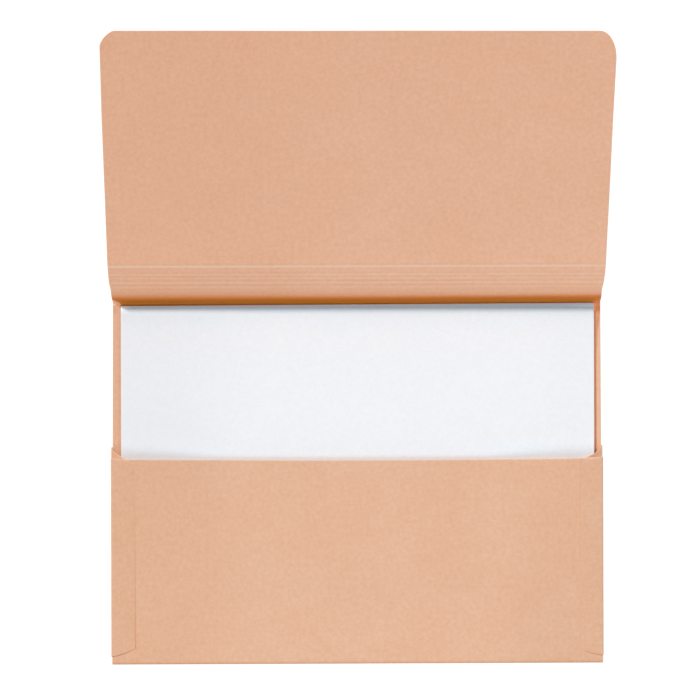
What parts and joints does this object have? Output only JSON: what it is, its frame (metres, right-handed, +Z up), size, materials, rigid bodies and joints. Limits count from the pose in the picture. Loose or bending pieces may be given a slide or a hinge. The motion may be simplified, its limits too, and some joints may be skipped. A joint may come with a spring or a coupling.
{
  "type": "file pocket",
  "caption": "Card file pocket with a scored folding spine, a cover flap, V-folded side gussets glued to the front panel, and loose folio sheets inside.",
  "frame": {"origin": "centre of the back panel's underside, which lies on the table", "axes": "+X to the right across the pocket, +Y from the bottom crease towards the flap, +Z up out of the pocket"},
  "size_m": [0.342, 0.4285, 0.0883],
  "materials": {
    "card": "matte",
    "sheet": "matte",
    "glue": "satin"
  },
  "bodies": {
    "back": {"back_panel": "card", "bottom_strip": "card", "left_gusset_rear": "card", "left_gusset_front": "card", "right_gusset_rear": "card", "right_gusset_front": "card"},
    "front": {"front_panel": "card", "left_lap": "card", "right_lap": "card", "left_glue_line": "glue", "right_glue_line": "glue"},
    "spine_lower": {"spine_strip_1": "card", "spine_strip_2": "card"},
    "spine_upper": {"spine_strip_3": "card", "spine_strip_4": "card", "spine_strip_5": "card", "spine_strip_6": "card", "spine_strip_7": "card"},
    "flap": {"cover_flap": "card"},
    "sheets": {"paper_sheets": "sheet"}
  },
  "joints": [
    {"name": "top_crease", "type": "hinge", "parent": "back", "child": "spine_lower", "pos_m": [0, 0.126, 0.0002], "axis": [1, 0, 0], "range_deg": [-4.5, 25.1]},
    {"name": "flap_close", "type": "hinge", "parent": "spine_lower", "child": "spine_upper", "pos_m": [0, 0.13415, 0.0172], "axis": [1, 0, 0], "range_deg": [-14, 80]},
    {"name": "main_score", "type": "hinge", "parent": "spine_upper", "child": "flap", "pos_m": [0, 0.15075, 0.02835], "axis": [1, 0, 0], "range_deg": [-9.9, 56.1]},
    {"name": "pocket_swing", "type": "hinge", "parent": "back", "child": "front", "pos_m": [0, -0.1258, 0.0108], "axis": [1, 0, 0], "range_deg": [-1, 5.5], "deforming": ["left_gusset_rear", "left_gusset_front", "right_gusset_rear", "right_gusset_front"]},
    {"name": "sheets_slide", "type": "slide", "parent": "back", "child": "sheets", "axis": [0, 1, 0], "range_m": [-0.0375, 0]}
  ],
  "couplings": [
    {"joint": "top_crease", "follows": "flap_close", "ratio": 0.3125},
    {"joint": "main_score", "follows": "flap_close", "ratio": 0.7}
  ]
}
